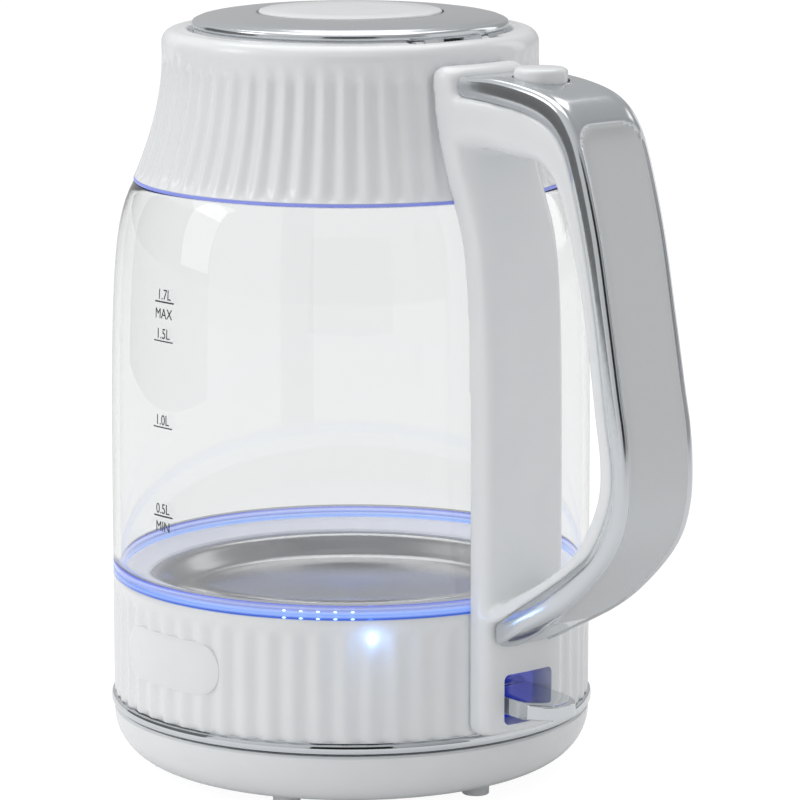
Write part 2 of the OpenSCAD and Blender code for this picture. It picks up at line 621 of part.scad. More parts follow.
module lid_button() color("white") translate([button_x, 0, 0]) {
    translate([0, 0, z_high - 9]) cylinder(r = button_r + 1, h = 1.5);
    translate([0, 0, z_high - 9]) cylinder(r = button_r, h = 11.4);
    translate([0, 0, z_high + 2.4 - eps]) cylinder(r1 = button_r, r2 = button_r - 0.9, h = 0.8);
}

nose_x = hinge_x - 6.7;
module latch_arm() color("gainsboro") {
    block(nose_x, button_x, latch_half, latch_z, latch_z + latch_t);
    translate([button_x, 0, latch_z]) cylinder(r = 5.5, h = z_high - 9 - latch_z);
    block(nose_x, nose_x + 3, latch_half, latch_z, pan_z - 3.4);
}

spring_low = inner_line[12][1] + grip_wall + 0.4;
spring_wire = 0.45;
module button_spring() color("silver") translate([button_x, 0, 0])
    wire(helix(3.6, spring_low + spring_wire, latch_z - 0.1 - spring_wire, 4), spring_wire, [0, 0, 1]);

// Lid

module lid_pan() color("white") difference() {
    union() {
        difference() {
            translate([0, 0, pan_z]) cylinder(r = pan_r, h = lid_z - pan_z);
            translate([0, 0, pan_z + 2]) cylinder(r = pan_r - 2, h = 30);
            block(notch_x, mouth_r + 9, notch_half, 0, z_rim + 9);
        }
        difference() {
            tube(pan_r + 0.6, pan_r - 5, lid_z - 1.6, lid_z);
            block(notch_x, mouth_r + 9, notch_half, 0, z_rim + 9);
        }
        tube(disc_r - 1.3, disc_r - 3.8, pan_z + 1, lid_z + 3.3);
        intersection() {
            translate([0, 0, pan_z]) cylinder(r = pan_r, h = lid_z - pan_z);
            block(notch_x - 2, notch_x + eps, notch_half + 3, pan_z, lid_z);
        }
        for (y = [-1, 1]) translate([0, y * (knuckle_half + 4.2) / 2, 0]) {
            block(notch_x - 1, hinge_x, (knuckle_half - 4.2) / 2, hinge_z - knuckle_r, lid_z - 0.1);
            block(hinge_x - 1, hinge_x + 1.6, (knuckle_half - 4.2) / 2, hinge_z, lid_z - 0.1);
            rod_y([hinge_x, (4.2 - knuckle_half) / 2, hinge_z], knuckle_r, knuckle_half - 4.2);
        }
        block(nose_x - 0.5, nose_x + 3.4, 5, pan_z - 3, pan_z + 1);
    }
    rod_y([hinge_x, -30, hinge_z], pin_r + run, 60);
}

module lid_trim_ring() color("silver") ring(concat([[ring_r - 1, lid_z], [ring_r - 0.2, lid_z + 0.4],
    [ring_r, lid_z + 1.3], [ring_r - 0.5, lid_z + 2.2]],
    [for (u = [0:0.2:1]) [ring_r - 2 - u * (ring_r - 2.5 - disc_r), lid_z + 2.9 + 1.9 * sin(90 * u)]],
    [[disc_r + 0.5, lid_z + 3.3]],
    [for (u = [1:-0.2:0]) [ring_r - 2.4 - u * (ring_r - 4 - disc_r), lid_z + 1.7 + 1.6 * sin(90 * u)]],
    [[ring_r - 2.4, lid_z]]));

module lid_disc() color("white") ring([[0, lid_z + 3.3], [disc_r, lid_z + 3.3], [disc_r, lid_z + 4.5],
    [disc_r - 0.5, lid_z + 4.9], [disc_r * 0.6, lid_z + 5.2], [0, lid_z + 5.3]]);

module lid_seal() color("lightgray") difference() {
    ring([[pan_r + 0.05, pan_z + 3], [mouth_r - 0.7, pan_z + 3.6], [mouth_r - 0.7, pan_z + 4.4],
        [pan_r + 0.05, pan_z + 5]]);
    block(notch_x - 1, mouth_r + 9, notch_half + 2, 0, z_rim + 9);
}

module lid_hinge_pin() color("silver") rod_y([hinge_x, -ear_out, hinge_z], pin_r, 2 * ear_out);

// Torsion spring round the middle of the pin, with one leg down to the mouth's wall
module lid_spring() color("gray") translate([hinge_x, 0, hinge_z]) rotate([90, 0, 0])
    wire(concat([[mouth_r - hinge_x - 0.35, -7, -3.6], [2.4, -6.2, -3.6], [1.65, -4, -3.6], [1.65, -2, -3.6]],
        helix(1.65, -3.5, 3.5, 5)), 0.3, [0, 0, 1]);

// Spout filter, clipped behind the spout

filter_low = z_rim - 37;
filter_high = z_rim - 15;
module filter_frame() color("white") difference() {
    block(-mouth_r - 2.6, -mouth_r - 0.6, 17.6, filter_low, filter_high);
    for (y = [-1, 1]) translate([0, y * 8.3, 0]) block(-mouth_r - 4, -mouth_r + 2, 6.9, filter_low + 2, filter_high - 2);
}

module filter_mesh() color("silver") for (y = [-1, 1]) translate([0, y * 8.3, 0]) difference() {
    block(-mouth_r - 1.8, -mouth_r - 1.4, 6.85, filter_low + 2.05, filter_high - 2.05);
    for (i = [-2:2]) for (k = [-3:3]) translate([-mouth_r - 4, i * 2.6 - 1, (filter_low + filter_high) / 2 + k * 2.5 - 0.9])
        cube([6, 2, 1.8]);
}

base_shell();
base_bottom_plate();
base_feet();
base_connector();
base_screws();
cord_grommet();
turn_ring();
trim_ring();
bottom_cover();
bottom_screws();
lower_housing();
badge();
indicator_lens();
kettle_connector();
control_unit();
bimetal_discs();
heating_element();
heat_spreader();
heating_plate();
plate_gasket();
light_band();
led_board();
leds();
wires();
glass_jug();
volume_scale();
collar_gasket();
upper_collar();
handle_grip();
handle_cover();
handle_screws();
steam_duct();
switch_well();
switch_pin();
switch_paddle();
lid_button();
latch_arm();
button_spring();
lid_pan();
lid_trim_ring();
lid_disc();
lid_seal();
lid_hinge_pin();
lid_spring();
filter_frame();
filter_mesh();
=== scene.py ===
"""Electric kettle with a glass jug, lit from inside, on its round power base. Metres, +Z up, handle at +X."""

import math

import bpy
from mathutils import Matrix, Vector


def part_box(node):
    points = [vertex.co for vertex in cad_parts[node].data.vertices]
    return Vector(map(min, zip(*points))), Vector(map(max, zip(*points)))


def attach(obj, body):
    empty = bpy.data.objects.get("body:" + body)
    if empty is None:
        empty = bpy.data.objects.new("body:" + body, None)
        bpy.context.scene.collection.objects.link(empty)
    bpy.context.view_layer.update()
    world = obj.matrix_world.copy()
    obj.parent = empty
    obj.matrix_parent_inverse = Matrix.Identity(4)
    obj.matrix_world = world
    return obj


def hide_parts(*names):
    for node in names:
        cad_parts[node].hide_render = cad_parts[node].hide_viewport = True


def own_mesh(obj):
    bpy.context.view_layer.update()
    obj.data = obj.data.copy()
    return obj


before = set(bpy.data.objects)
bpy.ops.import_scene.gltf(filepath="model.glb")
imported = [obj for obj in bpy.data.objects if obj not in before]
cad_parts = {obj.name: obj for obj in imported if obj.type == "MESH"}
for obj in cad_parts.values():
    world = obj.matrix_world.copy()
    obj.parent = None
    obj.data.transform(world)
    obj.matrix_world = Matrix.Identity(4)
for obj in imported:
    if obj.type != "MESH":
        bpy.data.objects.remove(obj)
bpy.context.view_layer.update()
mm = 0.001

# Camera
# Stands 1.5 m away in front of the handle's left side, a little above the lid, with a long lens.
camera_data = bpy.data.cameras.new("camera")
camera_data.lens = 205.6
camera = bpy.data.objects.new("camera", camera_data)
camera.location = (1.111, -0.942, 0.3868)
camera.rotation_euler = (math.radians(90 - 10.42), 0, math.atan2(1.111, 0.942) - 0.0109)
bpy.context.scene.collection.objects.link(camera)
bpy.context.scene.camera = camera
bpy.context.scene.view_settings.view_transform = "Standard"

# Power base
# A shallow bowl in glossy white ABS, moulded in one piece, with a ledge under it for the bottom plate and a
# hole at the back for the lead. It is drawn out of a ring, loop by loop, and the hole is bored through it.
wall_r = 77.5
across_y = (math.pi / 2, 0, 0)


def select_where(piece, test):
    """Goes into edit mode with only the piece's vertices that pass the test selected."""
    bpy.ops.object.select_all(action="DESELECT")
    bpy.context.view_layer.objects.active = piece
    piece.select_set(True)
    bpy.ops.object.mode_set(mode="EDIT")
    bpy.ops.mesh.select_mode(type="VERT")
    bpy.ops.mesh.select_all(action="DESELECT")
    bpy.ops.object.mode_set(mode="OBJECT")
    for vertex in piece.data.vertices:
        vertex.select = test(vertex.co)
    bpy.ops.object.mode_set(mode="EDIT")


def modify(piece, kind, **settings):
    """Adds a modifier with its settings, and applies it."""
    modifier = piece.modifiers.new(kind.title(), kind)
    for name, value in settings.items():
        setattr(modifier, name, value)
    bpy.ops.object.select_all(action="DESELECT")
    bpy.context.view_layer.objects.active = piece
    bpy.ops.object.modifier_apply(modifier=modifier.name)


def clean(piece):
    """Merges double vertices and turns all faces outwards."""
    select_where(piece, lambda co: True)
    bpy.ops.mesh.remove_doubles(threshold=0.01 * mm)
    bpy.ops.mesh.normals_make_consistent(inside=False)
    bpy.ops.object.mode_set(mode="OBJECT")


def turned(name, outline, steps=180):
    """A round piece about Z, drawn along a closed outline of (radius, height) in millimetres."""
    bpy.ops.object.select_all(action="DESELECT")
    first_r, first_z = outline[0]
    bpy.ops.mesh.primitive_circle_add(vertices=steps, radius=first_r * mm, location=(0, 0, first_z * mm))
    piece = bpy.context.object
    piece.name = name
    bpy.ops.object.transform_apply()
    select_where(piece, lambda co: True)
    bpy.ops.mesh.select_mode(type="EDGE")
    for (r0, z0), (r1, z1) in zip(outline, outline[1:] + outline[:1]):
        bpy.ops.mesh.extrude_edges_move(TRANSFORM_OT_translate={"value": (0, 0, (z1 - z0) * mm)})
        bpy.ops.transform.resize(value=(r1 / r0, r1 / r0, 1), center_override=(0, 0, 0))
    bpy.ops.object.mode_set(mode="OBJECT")
    clean(piece)
    return piece


def cutter(x, y, z):
    """A block between the given limits, in millimetres, to cut with."""
    bpy.ops.object.select_all(action="DESELECT")
    bpy.ops.mesh.primitive_cube_add(size=1, location=[sum(limits) / 2 * mm for limits in (x, y, z)])
    bpy.context.object.scale = [(limits[1] - limits[0]) * mm for limits in (x, y, z)]
    bpy.ops.object.transform_apply()
    return bpy.context.object


def rod(radius, length, place, turn=(0, 0, 0), vertices=64):
    """A cylinder centred on the place, in millimetres, to cut or to build with."""
    bpy.ops.object.select_all(action="DESELECT")
    bpy.ops.mesh.primitive_cylinder_add(vertices=vertices, radius=radius * mm, depth=length * mm,
                                        location=Vector(place) * mm, rotation=turn)
    bpy.ops.object.transform_apply()
    return bpy.context.object


def combine(piece, other, operation="DIFFERENCE"):
    """Cuts the other solid out of the piece, or joins or intersects them, and removes the other."""
    modify(piece, "BOOLEAN", object=other, operation=operation, solver="EXACT")
    bpy.data.objects.remove(other)


def join(first, *others):
    """Makes the pieces one object, which keeps the first one's name."""
    bpy.ops.object.select_all(action="DESELECT")
    for piece in (first, *others):
        piece.select_set(True)
    bpy.context.view_layer.objects.active = first
    bpy.ops.object.join()


def soften(piece, width, angle=40, segments=3):
    """Rounds the sharp edges by the width in millimetres, and shades the rest smooth."""
    modify(piece, "BEVEL", width=width * mm, segments=segments, limit_method="ANGLE",
           angle_limit=math.radians(angle), harden_normals=False)
    smooth(piece)


def smooth(piece, angle=32):
    """Shades smooth, with the sharp edges kept."""
    bpy.ops.object.select_all(action="DESELECT")
    bpy.context.view_layer.objects.active = piece
    piece.select_set(True)
    bpy.ops.object.shade_smooth_by_angle(angle=math.radians(angle))


def fit(piece, material, body, slot, *nodes):
    """Gives the piece its finish and its body, in place of its CAD nodes."""
    piece.data.materials.clear()
    piece.data.materials.append(material)
    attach(piece, body)
    if nodes:
        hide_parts(*nodes)


def finish_nodes(material, *names):
    """Gives CAD nodes that stay in view their finish."""
    for name in names:
        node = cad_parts[name]
        node.data.materials.clear()
        node.data.materials.append(material)


def colour(hex_code):
    """An sRGB hex colour as the linear numbers that a shader takes."""
    channels = [int(hex_code[i:i + 2], 16) / 255 for i in (1, 3, 5)]
    return [c / 12.92 if c <= 0.04045 else ((c + 0.055) / 1.055) ** 2.4 for c in channels] + [1]


def add_node(material, kind, inputs=None, **settings):
    """Adds a node with its own settings; each input is a value or the output that feeds it."""
    node = material.node_tree.nodes.new(kind)
    for name, value in settings.items():
        setattr(node, name, value)
    for name, value in (inputs or {}).items():
        if isinstance(value, bpy.types.NodeSocket):
            material.node_tree.links.new(value, node.inputs[name])
        else:
            node.inputs[name].default_value = value
    return node


def new_material(name, **sockets):
    """A material of one Principled shader with these sockets set, and the object's own coordinates."""
    material = bpy.data.materials.new(name)
    material.use_nodes = True
    shader = material.node_tree.nodes["Principled BSDF"]
    for socket, value in sockets.items():
        shader.inputs[socket.replace("_", " ").title().replace("Ior", "IOR")].default_value = value
    place = add_node(material, "ShaderNodeTexCoord").outputs["Object"]
    return material, shader, place


def moulded(name, light, dark, roughness, ripple_mm=14, ripple=0.03, **sockets):
    """Injection-moulded plastic: nearly one colour, with the slow waviness and uneven gloss of the mould."""
    material, shader, place = new_material(name, **sockets)
    link = material.node_tree.links.new
    waves = add_node(material, "ShaderNodeTexNoise", {"Vector": place, "Scale": 1 / (ripple_mm * mm),
                                                      "Detail": 3.0})
    tint = add_node(material, "ShaderNodeMix", {"Factor": waves.outputs["Fac"], "A": colour(light),
                                                "B": colour(dark)}, data_type="RGBA")
    gloss = add_node(material, "ShaderNodeMapRange", {"Value": waves.outputs["Fac"],
                                                      "To Min": roughness * 0.75, "To Max": roughness * 1.3})
    bump = add_node(material, "ShaderNodeBump", {"Height": waves.outputs["Fac"], "Strength": ripple,
                                                 "Distance": 1 * mm})
    link(tint.outputs["Result"], shader.inputs["Base Color"])
    link(gloss.outputs["Result"], shader.inputs["Roughness"])
    link(bump.outputs["Normal"], shader.inputs["Normal"])
    return material


# White ABS, moulded against polished steel: clean white with a soft gloss
white_abs = moulded("glossy_white_abs", "#F2F3F4", "#ECEEF0", 0.2, ior=1.54, coat_weight=0.25,
                    coat_roughness=0.08)
# Thermoplastic rubber, moulded against a blasted tool: light grey and matt
foot_rubber = moulded("grey_foot_rubber", "#D9DBDD", "#CDD0D2", 0.55, ripple_mm=2, ripple=0.15)

shell = turned("base_bowl", [(60.8 + 16.7 * math.sin(a), 2.3 + 16.2 * (1 - math.cos(a)))
                             for a in (math.radians(4.5 * i) for i in range(21))]
               + [(77.5, 19.3), (76.8, 20), (22.8, 20), (22.8, 17.6), (75, 17.6), (73.5, 13), (68.5, 7.6),
                  (60.8, 4.9), (55.2, 4.9), (55.2, 2.3)])
combine(shell, rod(4, 30, (0, 72, 11.3), across_y))
smooth(shell)
fit(shell, white_abs, "base", "white_abs", "base_shell")

# Six feet
# Soft pads of grey rubber, pushed into sockets under the bowl. Each is modelled in turn from a rounded
# cylinder.
for i in range(6):
    angle = math.radians(60 * i)
    foot = rod(4.35, 3.4, (61 * math.cos(angle), 61 * math.sin(angle), 1.7), vertices=48)
    foot.name = f"foot_{i + 1}"
    soften(foot, 0.5)
    fit(foot, foot_rubber, "base", "rubber_feet", *(["base_feet"] if i == 0 else []))

# Inside and under the base
# The plate, its screws, the black nylon connector and the lead's grommet keep their CAD shapes.
# Black glass-filled nylon: matt, with the grain of its fibres
black_nylon = moulded("black_nylon", "#1C1C1E", "#141416", 0.45, ripple_mm=1.5, ripple=0.2)


def plated(name, tint, roughness, ripple_mm=3, ripple=0.015, **sockets):
    """Metal plated on plastic: a mirror or satin skin with the faint orange peel of the layer under it."""
    material, shader, place = new_material(name, metallic=1.0, base_color=colour(tint), **sockets)
    link = material.node_tree.links.new
    peel = add_node(material, "ShaderNodeTexNoise", {"Vector": place, "Scale": 1 / (ripple_mm * mm),
                                                     "Detail": 4.0})
    gloss = add_node(material, "ShaderNodeMapRange", {"Value": peel.outputs["Fac"], "To Min": roughness * 0.8,
                                                      "To Max": roughness * 1.25})
    bump = add_node(material, "ShaderNodeBump", {"Height": peel.outputs["Fac"], "Strength": ripple,
                                                 "Distance": 1 * mm})
    link(gloss.outputs["Result"], shader.inputs["Roughness"])
    link(bump.outputs["Normal"], shader.inputs["Normal"])
    return material


# Stainless steel, rolled and deburred: grey with a dull sheen
plain_steel = plated("rolled_stainless_steel", "#B9B9B8", 0.3, ripple_mm=1, ripple=0.05)
finish_nodes(white_abs, "base_bottom_plate", "bottom_cover")
finish_nodes(black_nylon, "base_connector", "cord_grommet", "kettle_connector")
finish_nodes(plain_steel, "base_screws", "bottom_screws", "handle_screws")

# Turning ring, connector, control unit and heater
# Acetal and nylon mouldings, a nickel-plated tube element and a cast aluminium spreader under the dish.
# Acetal: pale grey and slightly waxy
grey_acetal = moulded("grey_acetal", "#D5D7D9", "#C9CBCE", 0.4, ripple_mm=6, ripple=0.05)
# Copper bimetal: warm, rolled and slightly tarnished
bimetal = plated("rolled_bimetal", "#C98A5E", 0.3, ripple_mm=2, ripple=0.05)
# Sheathed element: heat has darkened its nickel
element_steel = plated("heat_darkened_steel", "#6B6660", 0.4, ripple_mm=2, ripple=0.1)
# Cast aluminium: bright grey and granular
cast_aluminium = plated("cast_aluminium", "#C4C6C8", 0.5, ripple_mm=0.8, ripple=0.3)
# Solder mask on a glass-fibre board
board_green = moulded("solder_mask", "#14532A", "#0F4522", 0.3, ripple_mm=1, ripple=0.1)
# Silicone sleeve of the two leads
red_silicone = moulded("red_silicone_sleeve", "#9E2A22", "#8C231C", 0.5, ripple_mm=1, ripple=0.1)
finish_nodes(grey_acetal, "turn_ring", "control_unit", "steam_duct", "latch_arm")
finish_nodes(bimetal, "bimetal_discs")
finish_nodes(element_steel, "heating_element")
finish_nodes(cast_aluminium, "heat_spreader")
finish_nodes(board_green, "led_board")
finish_nodes(red_silicone, "wires")

# Trim ring
# A bright ring between base and body, in ABS with a polished chrome plate. Its two edges are rolled over.
# Chrome plate over polished ABS: a cool mirror
bright_chrome = plated("bright_chrome_plate", "#DADDE0", 0.07)
trim = turned("bright_trim_ring", [(74.7, 20.9), (77.6, 20.9), (78.1, 21.1), (78.35, 21.6), (78.4, 22.4),
                                   (78.35, 23.2), (78.1, 23.7), (77.6, 23.9), (76.7, 23.9), (76.7, 24.3),
                                   (74.7, 24.3)], 240)
smooth(trim)
fit(trim, bright_chrome, "kettle", "bright_chrome", "trim_ring")

# Lower housing
# A straight wall in white ABS with sixty soft upright flutes and a plain band along the top. The ring is
# drawn up with eight edges to a flute, and the grooves are pressed in where it is fluted.
flutes = 60


def flute(piece, low, high, depth, radius):
    """Presses upright grooves between two heights, in millimetres, into the wall outside the radius."""
    for phases, share in (((1, 7), 0.15), ((2, 6), 0.5), ((3, 5), 0.85), ((4,), 1)):
        select_where(piece, lambda co: low * mm < co.z < high * mm and co.xy.length > radius(co.z)
                     and round(math.atan2(co.y, co.x) * 4 * flutes / math.pi) % 8 in phases)
        factor = 1 - share * depth / wall_r
        bpy.ops.transform.resize(value=(factor, factor, 1), center_override=(0, 0, 0))
        bpy.ops.object.mode_set(mode="OBJECT")


housing = turned("fluted_housing", [(74.1, 24.3), (77.2, 24.3), (77.5, 24.7), (77.5, 26.5), (77.5, 36),
                                    (77.5, 48), (77.5, 56.5), (77.5, 58.2), (77.5, 59.3), (77.5, 60.2),
                                    (77.5, 61.4), (77.5, 63.1),
                                    (77.2, 63.6), (74.1, 63.6), (74.1, 60.7), (67, 60.7), (67, 59.1),
                                    (74.1, 59.1)], 8 * flutes)
for top, share in ((59.8, 0.35), (58.8, 0.3), (57.5, 0.35)):
    flute(housing, 24.2, top, 0.9 * share, lambda z: 76 * mm)
combine(housing, cutter((65, 85), (-11.6, 11.6), (27, 46.2)))
smooth(housing, 50)
fit(housing, white_abs, "kettle", "white_abs", "lower_housing")

# Badge
# A blank oval of the same white ABS, clipped into the flutes at the front. It is a slice of the wall's own
# curve.
badge = rod(8.5, 20, (0, -75, 44.4), across_y, vertices=62)
badge.name = "blank_badge"
for side in (-1, 1):
    select_where(badge, lambda co: co.x * side > 0)
    bpy.ops.transform.translate(value=(14.5 * mm * side, 0, 0))
    bpy.ops.object.mode_set(mode="OBJECT")
combine(badge, turned("badge_wall", [(76.1, 30), (77.55, 30), (77.55, 60), (76.1, 60)], 360), "INTERSECT")
soften(badge, 0.35)
fit(badge, white_abs, "kettle", "white_abs", "badge")

# Indicator
# A small clear dome in the housing wall, lit blue-white from behind when the kettle is on.


def lamp_plastic(name, tint, glow, strength):
    """Clear plastic with a light source behind it; the glow is uneven, as the source is small."""
    material, shader, place = new_material(name, base_color=colour(tint), roughness=0.15, ior=1.49,
                                           emission_strength=strength)
    spread = add_node(material, "ShaderNodeTexNoise", {"Vector": place, "Scale": 1 / (9 * mm), "Detail": 2.0})
    mix = add_node(material, "ShaderNodeMix", {"Factor": spread.outputs["Fac"], "A": colour(glow),
                                               "B": colour(tint)}, data_type="RGBA")
    material.node_tree.links.new(mix.outputs["Result"], shader.inputs["Emission Color"])
    return material


def dome(name, radius, place, segments, turn=0, stretch=(1, 1, 1)):
    """A clear bead: its radius in millimetres, its place in metres, turned about Z and stretched."""
    bpy.ops.object.select_all(action="DESELECT")
    bpy.ops.mesh.primitive_uv_sphere_add(segments=segments, ring_count=segments // 2, radius=radius * mm,
                                         location=place, rotation=(0, 0, turn))
    bead = bpy.context.object
    bead.name = name
    bead.scale = stretch
    bpy.ops.object.transform_apply()
    smooth(bead)
    return bead


# Clear dome of the lamp
lamp_white = lamp_plastic("lit_lamp_dome", "#BFE0FF", "#9CCBFF", 9.0)
lamp_angle = math.radians(-35.5)
lamp_out = Vector((math.cos(lamp_angle), math.sin(lamp_angle), 0))
lamp_at = lamp_out * 77.2 * mm + Vector((0, 0, 57.8 * mm))
lens = dome("indicator_dome", 1.6, lamp_at, 32)
fit(lens, lamp_white, "kettle", "blue_light", "indicator_lens")
halo = bpy.data.lights.new("lamp_halo", "POINT")
halo.color = colour("#6FA6FF")[:3]
halo.energy = 0.0009
halo.shadow_soft_size = 1 * mm
halo_object = bpy.data.objects.new("lamp_halo", halo)
halo_object.location = lamp_at + lamp_out * 5 * mm
bpy.context.scene.collection.objects.link(halo_object)

# Dish
# The floor of the jug: a disc of stainless steel, pressed into a shallow dish with a rolled edge and brushed
# while it turns, which leaves fine rings that catch the light in a fan.


def brushed_rings(name, tint, roughness, pitch_mm):
    """Stainless steel brushed on a lathe: rings of uneven depth about Z, stretched highlights across them."""
    material, shader, place = new_material(name, metallic=1.0, base_color=colour(tint), anisotropic=0.75)
    link = material.node_tree.links.new
    flat = add_node(material, "ShaderNodeVectorMath", {0: place, 1: (1, 1, 0)}, operation="MULTIPLY")
    radius = add_node(material, "ShaderNodeVectorMath", {0: flat.outputs["Vector"]}, operation="LENGTH")
    rings = add_node(material, "ShaderNodeTexNoise", {"W": radius.outputs["Value"],
                                                      "Scale": 1 / (pitch_mm * mm),
                                                      "Detail": 5.0}, noise_dimensions="1D")
    gloss = add_node(material, "ShaderNodeMapRange", {"Value": rings.outputs["Fac"],
                                                      "To Min": roughness * 0.7, "To Max": roughness * 1.4})
    bump = add_node(material, "ShaderNodeBump", {"Height": rings.outputs["Fac"], "Strength": 0.04,
                                                 "Distance": 0.2 * mm})
    tangent = add_node(material, "ShaderNodeTangent", direction_type="RADIAL", axis="Z")
    link(gloss.outputs["Result"], shader.inputs["Roughness"])
    link(bump.outputs["Normal"], shader.inputs["Normal"])
    link(tangent.outputs["Tangent"], shader.inputs["Tangent"])
    return material


# Brushed stainless: the rings are drawn 0.8 mm apart, coarser than real, so that they show
brushed_steel = brushed_rings("ring_brushed_stainless", "#C6C6C7", 0.2, 0.8)
dish_top = [(0.02, 54.2), (30, 54.2), (54, 54.2), (56.4, 54.3), (57.6, 54.7), (58.6, 55.5), (59.8, 57),
            (61.4, 59.3), (62.4, 60.6), (63.2, 61.2), (64.2, 61.5), (72.4, 61.5)]
dish = turned("steel_dish", dish_top + [(r, z - 0.8) for r, z in reversed(dish_top)], 240)
smooth(dish, 60)
fit(dish, brushed_steel, "kettle", "stainless_steel", "heating_plate")

# Gasket
# A ring of clear silicone that seals the dish into the glass. Its lips glow a faint blue-white: painted
# light, for the lamp and room light that the collar shades from it.
# Clear silicone: milky, with a painted blue-white glow
clear_silicone = moulded("clear_silicone", "#F1F2F6", "#E8EAF3", 0.3, ripple_mm=8, ripple=0.05,
                         emission_color=colour("#DDE1F4"), emission_strength=0.22)
seal = turned("dish_gasket", [(65.8, 61.5), (73.9, 61.5), (73.9, 63.7), (74.7, 63.7), (74.7, 64.6),
                              (74.3, 64.9), (73.2, 64.9), (72.8, 64.7), (72.3, 64.3), (71.6, 64),
                              (70.6, 63.6), (67, 62.8),
                              (66.2, 62.4)], 240)
soften(seal, 0.25)
fit(seal, clear_silicone, "kettle", "clear_silicone", "plate_gasket")

# Light band
# A light guide of clear acrylic between the housing and the glass. Lamps under it light it blue, deepest
# along its two edges.


def lit_through(name, axis, low, high, glow, stops, clear=0.0):
    """Acrylic lit from one side: its colours run along an axis, between two places in metres."""
    material, shader, place = new_material(name, roughness=0.12, ior=1.49, emission_strength=glow,
                                           transmission_weight=clear)
    split = add_node(material, "ShaderNodeSeparateXYZ", {"Vector": place})
    share = add_node(material, "ShaderNodeMapRange", {"Value": split.outputs[axis], "From Min": low,
                                                      "From Max": high})
    ramp = add_node(material, "ShaderNodeValToRGB", {"Fac": share.outputs["Result"]})
    ramp.color_ramp.elements.remove(ramp.color_ramp.elements[1])
    ramp.color_ramp.elements[0].color = colour(stops[0][1])
    for position, hex_code in stops[1:]:
        ramp.color_ramp.elements.new(position).color = colour(hex_code)
    for socket in ("Base Color", "Emission Color"):
        material.node_tree.links.new(ramp.outputs["Color"], shader.inputs[socket])
    return material


z_band, z_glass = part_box("light_band")[0].z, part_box("light_band")[1].z
# Acrylic light guide, lit blue from below
blue_guide = lit_through("blue_light_guide", "Z", z_band, z_glass, 0.25,
                         [(0.0, "#3A66C4"), (0.12, "#4A7AD4"), (0.24, "#B4CCF6"), (0.38, "#8FB0EE"),
                          (0.5, "#C2D2F6"), (0.66, "#98A8E6"), (0.8, "#CDD6F6"), (0.93, "#8D97DC"),
                          (1.0, "#6D78CC")], clear=0.7)
band = turned("light_guide_band", [(74.9, 63.6), (77.2, 63.6), (77.5, 63.9), (77.5, 65.9), (77.3, 66.1),
                                   (77.5, 66.3), (77.5, 68.0), (77.2, 68.3), (74.9, 68.3)], 240)
smooth(band, 60)
fit(band, blue_guide, "kettle", "blue_light", "light_band")

# Lamps
# The clear domes of the blue lamps, as they show at the front of the band: bright points in two rows of
# five, 4 degrees apart.
# Clear epoxy dome over a blue lamp
lamp_blue = lamp_plastic("lit_blue_lamp", "#D4E6FF", "#A8C8FF", 2.2)
finish_nodes(lamp_white, "leds")
for i in range(10):
    angle = math.radians(-56 + 4 * (i % 5))
    lower = i < 5
    at = Vector((77.2 * math.cos(angle), 77.2 * math.sin(angle), 64.1 if lower else 66.4)) * mm
    point = dome(f"lamp_point_{i + 1}", 0.4, at, 16, angle, (1, 2 if lower else 1.6, 0.8))
    fit(point, lamp_blue, "kettle", "led_dome")

# Glass jug
# Borosilicate glass, blown in a mould and 2.5 mm thick: straight below, drawn in at the shoulder, both rims
# fire-polished. Light passes it freely, so it throws no shadow.
# Borosilicate glass: colourless and very smooth
clear_glass, _, _ = new_material("borosilicate_glass", base_color=colour("#F2F3F3"), roughness=0.0,
                                 ior=1.47, transmission_weight=1.0)


jug_foot, jug_height, glass_wall, shoulder = 68.3, 123.1, 2.5, 8.1


def jug_radius(t):
    """Outer radius of the jug, in millimetres, at t from 0 at its foot to 1 at its neck."""
    return wall_r - shoulder * (t ** 4 + t ** 14) / 2


jug_steps = [i / 40 for i in range(41)]
jug = turned("glass_jug_wall", [(jug_radius(t), jug_foot + jug_height * t) for t in jug_steps]
             + [(jug_radius(t) - glass_wall, jug_foot + jug_height * t) for t in reversed(jug_steps)], 240)
soften(jug, 0.6)
fit(jug, clear_glass, "kettle", "clear_glass", "glass_jug")
jug.visible_shadow = False

# Volume marks
# Fired ceramic ink on the glass, dark grey: four short strokes and the volumes in litres. Each is set flat,
# made a mesh, and bent round the wall.
# Ceramic ink: matt and slightly mottled
grey_ink = moulded("grey_ceramic_ink", "#36373A", "#434447", 0.6, ripple_mm=1, ripple=0.1)
marks = []
for text, height, size in (("1.7L", 91.6, 4.6), ("MAX", 85.6, 4.6), ("1.5L", 79.3, 4.6), ("1.0L", 52.0, 4.6),
                           ("0.5L", 23.6, 4.6), ("MIN", 17.9, 4.6)):
    bpy.ops.object.select_all(action="DESELECT")
    bpy.ops.object.text_add(location=(-0.2 * mm, 0, height * mm), rotation=(math.pi / 2, 0, 0))
    mark = bpy.context.object
    mark.data.body = text
    mark.data.size = size * mm
    mark.data.align_x = "CENTER"
    mark.data.extrude = 0.04 * mm
    mark.scale.x = 0.86
    bpy.ops.object.convert(target="MESH")
    bpy.ops.object.transform_apply()
    marks.append(bpy.context.object)
for height, weight in ((90.8, 0.5), (78.5, 0.4), (51.2, 0.4), (22.8, 0.5)):
    marks.append(cutter((-4.65, 4.65), (-0.04, 0.04), (height - weight / 2, height + weight / 2)))
    modify(marks[-1], "SUBSURF", subdivision_type="SIMPLE", levels=3, render_levels=3)
join(*marks)
scale = marks[0]
scale.name = "litre_marks"
